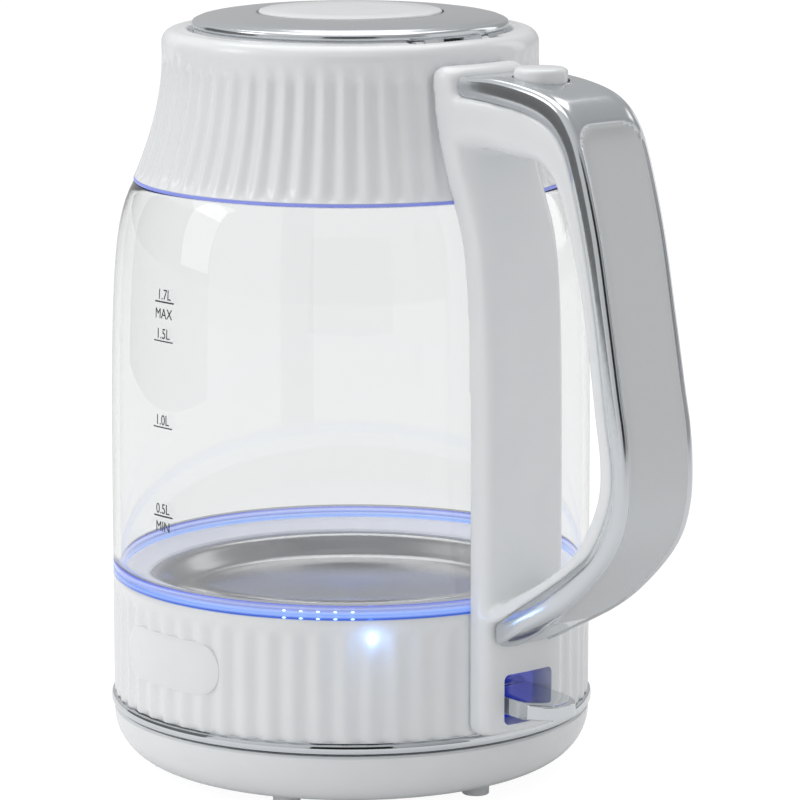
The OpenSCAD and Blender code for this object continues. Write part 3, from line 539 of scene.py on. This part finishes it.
for vertex in scale.data.vertices:
    radius = jug_radius(vertex.co.z / mm / jug_height) * mm + 0.05 * mm - vertex.co.y
    angle = vertex.co.x / radius - math.pi / 2
    vertex.co = (radius * math.cos(angle), radius * math.sin(angle), vertex.co.z + jug_foot * mm)
fit(scale, grey_ink, "kettle", "grey_ink", "volume_scale")

# Neck gasket
# A thin silicone ring between the glass and the collar; it carries the blue light round the neck.
neck_blue = moulded("lit_neck_silicone", "#8F9BE0", "#7F8CD8", 0.3, ripple_mm=8,
                    emission_color=colour("#6C78D8"), emission_strength=0.3)
neck = turned("neck_gasket", [(67.1, 191.6), (69.5, 191.6), (69.6, 191.7), (69.6, 192.3), (69.5, 192.4),
                              (67.1, 192.4)], 240)
smooth(neck)
fit(neck, neck_blue, "kettle", "blue_edge", "collar_gasket")

# Collar
# White ABS: a fluted wall that narrows from the glass to a rounded shoulder, a deck with the mouth in it,
# and a skirt down into the neck. The spout is a lip drawn out of the wall, and the hinge sits in a notch at
# the back.


collar_foot, collar_height, collar_wall = 192.4, 47.6, 2.6
hinge_x, hinge_z = 48.2, 238


def collar_radius(s):
    """Outer radius of the collar, in millimetres, at s from 0 at its foot to 1 at its rim."""
    return 60.3 + 9.1 * max(0, 1 - s / 0.8) ** 1.8


def collar_share(z):
    """How far up the collar a height is, from 0 to 1."""
    return (z - collar_foot) / collar_height


collar_steps = [0, 0.012, 0.03] + [0.06 + 0.03 * i for i in range(29)]
collar = turned("fluted_collar",
                [(collar_radius(0) - 0.3, collar_foot)]
                + [(collar_radius(s), collar_foot + 0.4 + collar_height * s) for s in collar_steps]
                + [(56.1 + 4.2 * math.cos(math.radians(a)), 235.8 + 4.2 * math.sin(math.radians(a)))
                   for a in (9, 18, 30, 42, 54, 66, 78, 90)]
                + [(53.4, 240), (52.9, 240.2), (52.4, 240), (52, 239.4), (52, 226), (54.2, 226),
                   (54.2, 237.4), (56.1, 237.4)]
                + [(collar_radius(s) - collar_wall, collar_foot + collar_height * s)
                   for s in reversed(collar_steps) if s > 0.1]
                + [(64.4, 196.8), (64.4, 190.6), (66.6, 190.6), (66.6, collar_foot)], 8 * flutes)
for low, high, share in ((193.1, 233, 0.3), (194.2, 231, 0.35), (195, 228.5, 0.35)):
    flute(collar, low, high, 1.5 * share, lambda z: (collar_radius(collar_share(z / mm)) - 1.6) * mm)
combine(collar, cutter((-59.5, -49), (-14, 14), (206, 237)))
for far, side, low in ((51.4, 15.2, 235.5), (53.7, 16, 237.2), (52.4, 18.8, 239)):
    combine(collar, cutter((46.2, far), (-side, side), (low, 245)))
combine(collar, cutter((47, 66), (-3.7, 3.7), (214.8, 222.2)))
smooth(collar, 50)


def wrapped(name, rows, columns, place):
    """A sheet that runs 0 to 1 both ways, with each vertex put where the function says, in millimetres."""
    bpy.ops.object.select_all(action="DESELECT")
    bpy.ops.mesh.primitive_grid_add(x_subdivisions=rows, y_subdivisions=columns, size=1, location=(0, 0, 0))
    sheet = bpy.context.object
    sheet.name = name
    for vertex in sheet.data.vertices:
        vertex.co = Vector(place(vertex.co.x + 0.5, vertex.co.y + 0.5)) * mm
    clean(sheet)
    return sheet


def spout_place(up, across):
    """The spout's outside, a rounded wedge: how far up it, and across it from side to side."""
    z = 205 + 33 * up
    wall = collar_radius(collar_share(z))
    side = 2 * across - 1
    reach = (13.4 * up ** 1.15) * (1 - abs(side) ** 1.25)
    angle = math.pi + side * math.radians(19)
    radius = wall - 1.8 + reach * 1.16
    return radius * math.cos(angle), radius * math.sin(angle) * (1 - 0.45 * up * (1 - abs(side))), z


spout = wrapped("spout", 24, 40, spout_place)
modify(spout, "SOLIDIFY", thickness=1.2 * mm, offset=-1)
clean(spout)
soften(spout, 0.4)
ears = []
for ear_y in (-13.5, 13.5):
    ear = rod(2.1, 3, (hinge_x, ear_y, hinge_z), across_y, vertices=48)
    for far, top in ((50.3, hinge_z), (52.6, 235.4)):
        combine(ear, cutter((46.1, far), (ear_y - 1.5, ear_y + 1.5), (233, top)), "UNION")
    combine(ear, rod(1, 10, (hinge_x, ear_y, hinge_z), across_y, vertices=48))
    soften(ear, 0.2)
    ears.append(ear)
join(collar, spout, *ears)
fit(collar, white_abs, "kettle", "white_abs", "upper_collar")

# Handle
# One white ABS moulding: a pillar up the side of the body, flaring at its head into an arm that bends down
# into the grip and comes back into the pillar's foot. Pillar and grip are lofted, fused, and smoothed where
# they meet.
reach, z_low, z_high = 66.7, 50, 231
button_x = 89.9


def smooth_line(points, steps=8):
    """A smooth line through points given as shares of the handle's reach and height, in millimetres."""
    p = [(wall_r + x * reach, z_low + t * (z_high - z_low)) for x, t in points]
    line = []
    for i in range(1, len(p) - 2):
        for step in range(steps):
            u = step / steps
            line.append([((2 * p[i][k]) + (p[i + 1][k] - p[i - 1][k]) * u
                          + (2 * p[i - 1][k] - 5 * p[i][k] + 4 * p[i + 1][k] - p[i + 2][k]) * u * u
                          + (3 * p[i][k] - p[i - 1][k] - 3 * p[i + 1][k] + p[i + 2][k]) * u ** 3) / 2
                         for k in (0, 1)])
    return [Vector(q) for q in line + [p[-2]]]


def along(line, share):
    """The point at a share of the line's length."""
    lengths = [(b - a).length for a, b in zip(line, line[1:])]
    left = share * sum(lengths)
    for a, b, length in zip(line, line[1:], lengths):
        if left <= length:
            return a.lerp(b, left / length)
        left -= length
    return line[-1].copy()


def ease(x):
    """A smooth step from 0 to 1."""
    x = min(1, max(0, x))
    return x * x * (3 - 2 * x)


back_line = smooth_line([(-0.35, 1.005), (-0.165, 1.0), (0.1, 1.004), (0.36, 0.993), (0.52, 0.973),
                         (0.625, 0.937), (0.7, 0.88), (0.8, 0.76), (0.875, 0.63), (0.94, 0.51),
                         (0.985, 0.43), (0.998, 0.36),
                         (0.985, 0.3), (0.925, 0.24), (0.78, 0.176), (0.56, 0.107), (0.3, 0.05), (0.1, 0.012),
                         (-0.1, -0.02)])
seam_line = smooth_line([(-0.35, 0.966), (-0.165, 0.966), (0.06, 0.963), (0.3, 0.953), (0.46, 0.934),
                         (0.555, 0.9), (0.62, 0.845), (0.7, 0.748), (0.78, 0.621), (0.855, 0.459),
                         (0.9, 0.365), (0.868, 0.3),
                         (0.77, 0.2315), (0.63, 0.186), (0.41, 0.131), (0.136, 0.067), (-0.05, 0.02)])
inner_line = smooth_line([(-0.4, 0.86), (-0.2, 0.872), (0, 0.877), (0.16, 0.871), (0.32, 0.868),
                          (0.405, 0.855), (0.485, 0.825), (0.56, 0.766), (0.625, 0.693), (0.69, 0.597),
                          (0.755, 0.454), (0.79, 0.377),
                          (0.767, 0.309), (0.64, 0.2276), (0.45, 0.167), (0.19, 0.1127), (-0.02, 0.07),
                          (-0.1, 0.05)])


def grip_section(half, depth):
    """Half of the grip's section, as (across, depth from the seam): square at the seam, round inside."""
    r = min(6.5, 0.42 * depth)
    points = [(half * k, 0) for k in (0, 0.3, 0.6, 0.85)]
    points += [(half - 0.5, 0.1), (half, 0.8), (half + 0.1, 0.3 * depth)]
    points += [(half - r + r * math.cos(math.radians(a)), depth - r + r * math.sin(math.radians(a)))
               for a in (0, 15, 30, 45, 60, 75, 90)]
    return points + [((half - r) * k, depth + 0.5 * (1 - k)) for k in (0.66, 0.33, 0)]


def grip_place(share, round_it):
    seam, inner = along(seam_line, share), along(inner_line, share)
    depth = (inner - seam).length
    flare = 2.2 * ease(1 - share * 9) + 2.6 * ease((share - 0.93) / 0.07)
    half = grip_section(14 + flare, depth)
    ring = [(-y, e) for y, e in half[1:]][::-1] + half
    y, e = ring[round(round_it * (len(ring) - 1))] if round_it < 0.999 else ring[0]
    at = seam + (inner - seam) * (e / depth)
    return at.x, y, at.y


def close_ends(piece):
    """Fills the open ends of a lofted tube."""
    clean(piece)
    bpy.ops.object.mode_set(mode="EDIT")
    bpy.ops.mesh.select_mode(type="EDGE")
    bpy.ops.mesh.select_all(action="DESELECT")
    bpy.ops.mesh.select_non_manifold(extend=False)
    bpy.ops.mesh.edge_face_add()
    bpy.ops.mesh.select_all(action="SELECT")
    bpy.ops.mesh.normals_make_consistent(inside=False)
    bpy.ops.object.mode_set(mode="OBJECT")


section_size = 2 * len(grip_section(14, 20)) - 1
grip = wrapped("handle_moulding", 130, section_size, grip_place)
close_ends(grip)


def body_radius(z):
    """Outer radius of housing, glass and collar at a height, in millimetres."""
    if z < jug_foot:
        return wall_r
    return jug_radius((z - jug_foot) / jug_height) if z < collar_foot - 1 else collar_radius(collar_share(z))


def pillar_place(up, round_it):
    """The pillar: parallel to the body, 34 mm wide, with rounded corners and ends."""
    end = 3.2
    z = 24.8 + 208.8 * up
    lift = 1 - math.sqrt(max(0, 1 - max(0, (24.8 + end - z) / end, (z - 233.6 + end) / end) ** 2))
    inner = body_radius(z) + 0.15
    outer = body_radius(z) + 8.6 - end * lift
    half, corner = 17 - 0.8 * end * lift, 4.5
    front = [(half - corner) * k for k in (0, 0.25, 0.5, 0.75, 1)]
    half_ring = [(math.sqrt(outer ** 2 - y ** 2), y) for y in front]
    edge = math.sqrt(outer ** 2 - (half - corner) ** 2) - corner
    half_ring += [(edge + corner * math.cos(math.radians(a)),
                   half - corner + corner * math.sin(math.radians(a))) for a in (22, 45, 67, 90)]
    foot = math.sqrt(inner ** 2 - half ** 2)
    half_ring += [(foot + (edge - foot) * k, half) for k in (0.6, 0.2, 0)]
    half_ring += [(math.sqrt(inner ** 2 - (half * k) ** 2), half * k) for k in (0.75, 0.5, 0.25, 0)]
    ring = half_ring + [(x, -y) for x, y in reversed(half_ring[:-1])]
    x, y = ring[round(round_it * (len(ring) - 1))]
    return x, y, z


pillar = wrapped("pillar", 110, 31, pillar_place)
close_ends(pillar)
combine(grip, pillar, "UNION")
modify(grip, "REMESH", mode="VOXEL", voxel_size=0.9 * mm)
modify(grip, "SMOOTH", factor=0.5, iterations=14)
window = cutter((60, 100), (-10, 10), (28.5, 44.7))
select_where(window, lambda co: True)
bpy.ops.mesh.select_mode(type="EDGE")
bpy.ops.mesh.select_all(action="DESELECT")
bpy.ops.object.mode_set(mode="OBJECT")
for edge in window.data.edges:
    a, b = (window.data.vertices[i].co for i in edge.vertices)
    edge.select = abs(a.x - b.x) > 30 * mm
bpy.ops.object.mode_set(mode="EDIT")
bpy.ops.mesh.bevel(offset=2 * mm, segments=6)
bpy.ops.object.mode_set(mode="OBJECT")
combine(grip, window)
combine(grip, rod(9.9, 30, (button_x, 0, 224.4)))
combine(grip, cutter((50, 90), (-3.9, 3.9), (214.6, 222.4)))
smooth(grip, 40)
fit(grip, white_abs, "kettle", "white_abs", "handle_grip")

# Cover
# A C-shaped strip in satin chrome-plated ABS over the back of arm and grip: rounded cheeks, a fine crease,
# and a sunk panel down the back with rounded upper corners. It is lofted along the handle and thickened
# inwards.
# Satin chrome plate: cool grey, blurred reflections
satin_chrome = plated("satin_chrome_plate", "#D6D9DC", 0.15)
columns = ([(14.1, 0), (14.55, 0.16), (14.75, 0.36)] + [("cheek", a) for a in (0, 18, 36, 54, 72, 90)]
           + [("groove", k) for k in (0.75, 0.5, 0.25, 0)]
           + [("panel", k) for k in (0.95, 0.88, 0.76, 0.6, 0.4, 0.2, 0)])


def open_stretch(line):
    """The stretch of a line that the cover follows: from the arm's root to the pillar's face."""
    return [p for p in line if p.x > (66.5 if p.y > 120 else 86)]


cover_back, cover_seam = open_stretch(back_line), open_stretch(seam_line)
cover_length = sum((b - a).length for a, b in zip(cover_back, cover_back[1:]))


def cover_place(share, across):
    back, seam = along(cover_back, share), along(cover_seam, share)
    length = share * cover_length
    depth = (back - seam).length
    panel = 12 - 6 * ease((share - 0.84) / 0.16)
    index = round(across * 2 * (len(columns) - 1))
    side = 1 if index < len(columns) else -1
    kind, value = columns[index if side == 1 else 2 * (len(columns) - 1) - index]
    if kind == "cheek":
        turn = math.radians(value)
        y = panel + 1 + (14.75 - panel - 1) * math.cos(turn)
        e = 0.97 * depth - min(2.6, 0.5 * depth) * (1 - math.sin(turn))
    elif kind in ("groove", "panel"):
        y = panel + 0.9 * value if kind == "groove" else panel * value
        over = max(0, y - (panel - 6))
        start = 53 + 6 - math.sqrt(max(0, 36 - min(6, over) ** 2))
        sunk = 0.5 * ease((length - start) / 1.5)
        edge = ease(panel + 1 - y) if kind == "groove" else 1
        e = depth * (0.97 + 0.03 * ease((panel - y) / 2)) - sunk * edge
    else:
        y, e = kind, depth * value
        if length < 3:
            e = max(e, 3 - math.sqrt(9 - (3 - length) ** 2))
    at = seam + (back - seam) * (e / depth)
    return at.x, side * y, at.y


def on_panel(place):
    """Whether a point of the cover's outside lies on the panel, under its rounded upper corners."""
    over = min(6, max(0, abs(place.y) / mm - 6))
    top = along(cover_back, 54 / cover_length).y - 6 + math.sqrt(36 - over ** 2)
    return place.z / mm < top and abs(place.y) < 12.1 * mm


cover = wrapped("satin_cover", 300, 2 * len(columns) - 1, cover_place)
button_axis = Vector((button_x * mm, 0))
select_where(cover, lambda co: (co.xy - button_axis).length < 8.6 * mm and co.z > 215 * mm)
bpy.ops.mesh.delete(type="VERT")
bpy.ops.mesh.select_non_manifold(extend=False)
bpy.ops.object.mode_set(mode="OBJECT")
for vertex in cover.data.vertices:
    out = vertex.co.xy - button_axis
    if vertex.select and out.length < 13 * mm and vertex.co.z > 225 * mm:
        vertex.co.xy = button_axis + out.normalized() * 8.9 * mm
modify(cover, "SOLIDIFY", thickness=1.3 * mm, offset=-1)
clean(cover)
smooth(cover, 30)
fit(cover, satin_chrome, "kettle", "satin_chrome", "handle_cover")
# The panel is blasted before plating: the same grey, but nearly matt
cover.data.materials.append(plated("blasted_chrome_plate", "#CBCDCF", 0.38, ripple_mm=1, ripple=0.04))
for face in cover.data.polygons:
    if on_panel(face.center) and face.normal.x > 0.5:
        face.material_index = 1

# Lid button
# White ABS, turned with a rounded top edge, standing in a round hole in the cover.
button = turned("round_button", [(0.02, 222), (9.3, 222), (9.3, 223.5), (8.3, 223.5), (8.3, 233),
                                 (8.15, 233.8), (7.7, 234.3), (7, 234.6), (4, 234.8), (0.02, 234.85)], 120)
select_where(button, lambda co: True)
bpy.ops.transform.translate(value=(button_x * mm, 0, 0))
bpy.ops.object.mode_set(mode="OBJECT")
smooth(button)
fit(button, white_abs, "button", "white_abs", "lid_button")
finish_nodes(plain_steel, "lid_spring", "lid_hinge_pin", "switch_pin", "filter_mesh")

# Button spring
# Four turns of stainless wire under the button, wound round its stem.
spring_low, spring_high = (corner.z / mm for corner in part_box("button_spring"))
travel, coil_r, wire_r, turns = 3, 3.6, 0.45, 4
bpy.ops.object.select_all(action="DESELECT")
bpy.ops.mesh.primitive_circle_add(vertices=12, radius=wire_r * mm, fill_type="NGON",
                                  location=(coil_r * mm, 0, (spring_low + wire_r) * mm), rotation=across_y)
spring = bpy.context.object
spring.name = "button_coil"
bpy.ops.object.transform_apply()
rise = (spring_high - spring_low - 2 * wire_r) / turns
modify(spring, "SCREW", axis="Z", screw_offset=rise * mm, iterations=turns, steps=40, render_steps=40,
       use_merge_vertices=False)
select_where(spring, lambda co: True)
bpy.ops.transform.translate(value=(button_x * mm, 0, 0))
bpy.ops.object.mode_set(mode="OBJECT")
smooth(spring, 60)
fit(spring, plain_steel, "kettle", "stainless_steel", "button_spring")
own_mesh(spring)

# Switch
# A lever in bright plated ABS, thin at its root and rounded at its tip, on a pin across a tub of blue
# acrylic. The lamp behind the tub lights it.
# Blue acrylic tub, lit from behind
lit_tub = lit_through("lit_blue_tub", "Y", -0.010, 0.010, 0.5,
                      [(0.0, "#0A3FD8"), (0.5, "#0B2FA4"), (0.75, "#1C36A6"), (0.9, "#3C48A8"),
                       (1.0, "#7478B8")])
finish_nodes(lit_tub, "switch_well")
paddle = cutter((75, 103), (-9, 9), (32.5, 38.1))
paddle.name = "switch_lever"
modify(paddle, "SUBSURF", subdivision_type="SIMPLE", levels=4, render_levels=4)
for vertex in paddle.data.vertices:
    out = (vertex.co.x / mm - 75) / 28
    nose = max(0, (vertex.co.x / mm - 97) / 6)
    side = vertex.co.y / mm / 9
    middle = 35.3 - 1.6 * out + 0.8 * out ** 2
    vertex.co.z = (middle + (vertex.co.z / mm - 35.3) * (1 - 0.25 * nose ** 2)) * mm
    vertex.co.x -= 7 * mm * abs(side) ** 3 * out
soften(paddle, 2.2, segments=6)
hub = rod(3.4, 17.6, (72, 0, 36), across_y)
combine(paddle, hub, "UNION")
combine(paddle, cutter((71, 77), (-8.8, 8.8), (33.2, 38)), "UNION")
combine(paddle, rod(1.55, 30, (72, 0, 36), across_y))
smooth(paddle, 35)
fit(paddle, bright_chrome, "switch", "bright_chrome", "switch_paddle")

# Lid
# A pan of white ABS under a domed ring in satin plate and a white disc. The ring's edge is rolled to a bright
# bead, and a thin gap runs round the disc.
lid_ring = turned("lid_ring", [(49.4, 240.3), (50.3, 240.45), (50.6, 241), (50.6, 242), (50.3, 242.6),
                               (49.6, 243.0), (48.9, 243.15), (48.2, 243.6), (46, 244.1), (42, 244.7),
                               (38, 245.1), (34, 245.35),
                               (30.8, 245.45), (30.0, 245.2), (29.8, 244), (31, 244), (38, 243.6),
                               (44, 242.9), (48.2, 241.8), (48.2, 240.3)], 240)
smooth(lid_ring, 45)
fit(lid_ring, satin_chrome, "lid", "satin_chrome", "lid_trim_ring")
lid_disc = turned("lid_centre", [(0.02, 244), (29.3, 244), (29.3, 245.2), (29.05, 245.6), (28.5, 245.8),
                                 (20, 245.92), (0.02, 246.0)], 180)
smooth(lid_disc)
fit(lid_disc, white_abs, "lid", "white_abs", "lid_disc")
finish_nodes(white_abs, "lid_pan", "filter_frame")
# The lid seal takes the same silicone, with its painted glow
finish_nodes(clear_silicone, "lid_seal")

# Studio
# A white floor under soft boxes, in a room that is bright on the left and grey on the right. Flags behind the
# camera and on the left give the plated pieces their dark lines; a card on the right lights their backs.


def soft_box(name, place, size, energy):
    """A rectangular lamp of a size in metres that faces the kettle."""
    light = bpy.data.lights.new(name, "AREA")
    light.shape = "RECTANGLE"
    light.size, light.size_y = size
    light.energy = energy
    box = bpy.data.objects.new(name, light)
    box.location = place
    box.rotation_euler = (Vector((0, 0, 0.12)) - Vector(place)).to_track_quat("-Z", "Y").to_euler()
    bpy.context.scene.collection.objects.link(box)


def sheet(name, size, place, face_to, hex_code, glow):
    """A flat sheet of paper or cloth in the studio."""
    bpy.ops.object.select_all(action="DESELECT")
    turn = Vector(face_to).to_track_quat("Z", "Y").to_euler()
    bpy.ops.mesh.primitive_plane_add(size=size, location=place, rotation=turn)
    plane = bpy.context.object
    plane.name = name
    paper, _, _ = new_material(name + "_paper", base_color=colour(hex_code), roughness=0.9,
                               emission_color=colour("#FFFFFF"), emission_strength=glow)
    plane.data.materials.append(paper)
    return plane


soft_box("left_box", (-0.9, -1.4, 0.8), (0.6, 1.3), 5.2)
soft_box("top_box", (-0.3, 0.2, 1.7), (1.6, 1.6), 12)
soft_box("edge_box", (0.2, 1.6, 0.7), (0.5, 1.2), 2)
floor = sheet("floor", 16, (0, 0, 0), (0, 0, 1), "#606060", 0.93)
floor.visible_diffuse = floor.visible_glossy = floor.visible_shadow = False
bounce = sheet("bounce_table", 16, (0, 0, -0.001), (0, 0, 1), "#E6E6E6", 0.08)
bounce.visible_camera = False
for name, place, size, hex_code, glow in (("rear_flag", (1.62, -1.37, 0.35), 1.5, "#0A0A0A", 0),
                                          ("left_flag", (-0.6, -0.52, 0.12), 0.9, "#3C3C3C", 0.1),
                                          ("right_card", (1.05, 0.9, 0.45), 1.3, "#606060", 0.66)):
    flag = sheet(name, size, place, (-place[0], -place[1], 0), hex_code, glow)
    flag.visible_camera = flag.visible_diffuse = flag.visible_shadow = flag.visible_transmission = False
world = bpy.data.worlds.new("room")
world.use_nodes = True
room = world.node_tree.nodes
direction = room.new("ShaderNodeTexCoord").outputs["Generated"]
towards = room.new("ShaderNodeVectorMath")
towards.operation = "DOT_PRODUCT"
towards.inputs[1].default_value = (-0.5, -0.6, 0.62)
walls = room.new("ShaderNodeMapRange")
walls.inputs["From Min"].default_value = -1
walls.inputs["To Min"].default_value, walls.inputs["To Max"].default_value = 0.22, 0.78
world.node_tree.links.new(direction, towards.inputs[0])
world.node_tree.links.new(towards.outputs["Value"], walls.inputs["Value"])
world.node_tree.links.new(walls.outputs["Result"], room["Background"].inputs["Strength"])
room["Background"].inputs["Color"].default_value = colour("#FBFCFD")
bpy.context.scene.world = world
